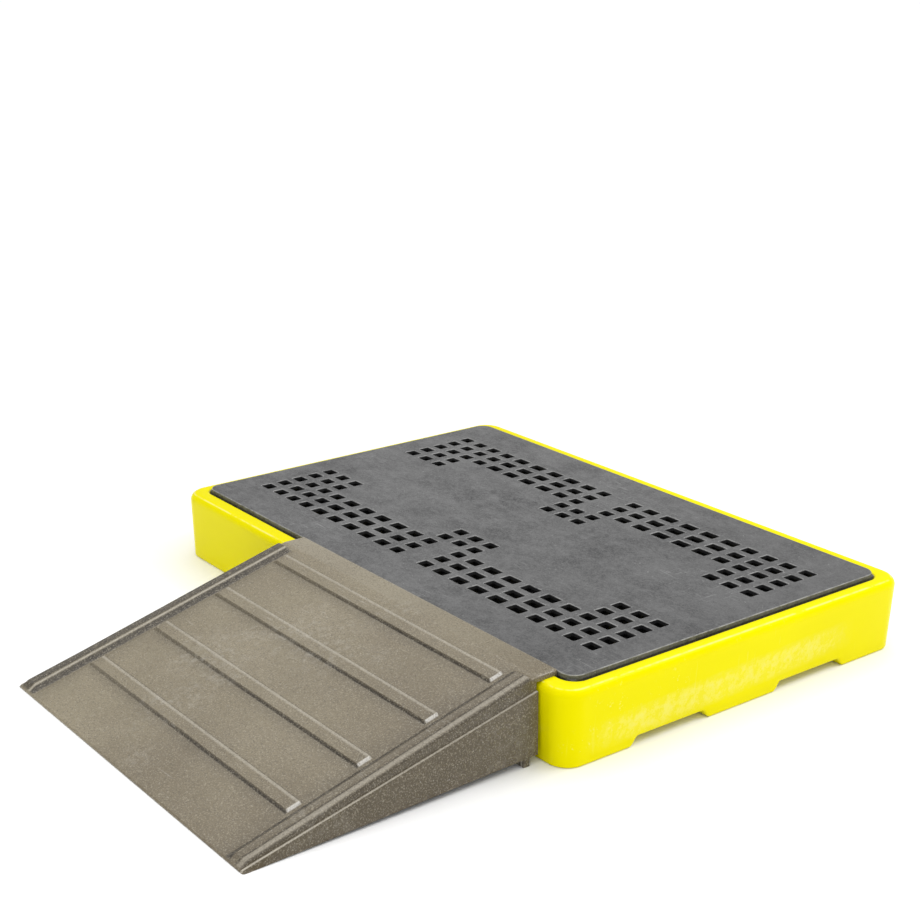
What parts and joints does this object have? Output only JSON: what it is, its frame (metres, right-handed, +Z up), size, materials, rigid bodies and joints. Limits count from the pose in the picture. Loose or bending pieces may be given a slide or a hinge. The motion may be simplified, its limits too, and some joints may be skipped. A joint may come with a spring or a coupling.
{
  "type": "spill containment pallet",
  "caption": "Low spill containment pallet: moulded sump tray with a lift-out perforated drum deck on support columns, and a drum loading ramp hooked on the long side of its rim.",
  "frame": {"origin": "centre of the tray's underside, on the surface that it stands on", "axes": "+Z up; +X along the tray's long side; the ramp is on the -Y side"},
  "size_m": [1.26, 1.476, 0.1618],
  "materials": {
    "yellow_plastic": "satin moulded polyethylene, lightly scuffed",
    "grey_plastic": "fine-grained moulded polyethylene with pale scuffs",
    "column_plastic": "plain moulded polyethylene",
    "taupe_plastic": "satin, finely speckled moulded polyethylene"
  },
  "bodies": {
    "tray": {"sump_tray": "yellow_plastic"},
    "deck": {"deck_grating": "grey_plastic", "support_column_1": "column_plastic", "support_column_2": "column_plastic", "support_column_3": "column_plastic", "support_column_4": "column_plastic", "support_column_5": "column_plastic", "support_column_6": "column_plastic", "support_column_7": "column_plastic", "support_column_8": "column_plastic", "support_column_9": "column_plastic", "support_column_10": "column_plastic"},
    "ramp": {"ramp": "taupe_plastic"}
  },
  "joints": [
    {"name": "deck_lift", "type": "slide", "parent": "tray", "child": "deck", "axis": [0, 0, 1], "range_m": [0, 0.2]},
    {"name": "ramp_lift", "type": "slide", "parent": "tray", "child": "ramp", "axis": [0, 0, 1], "range_m": [0, 0.2]}
  ]
}
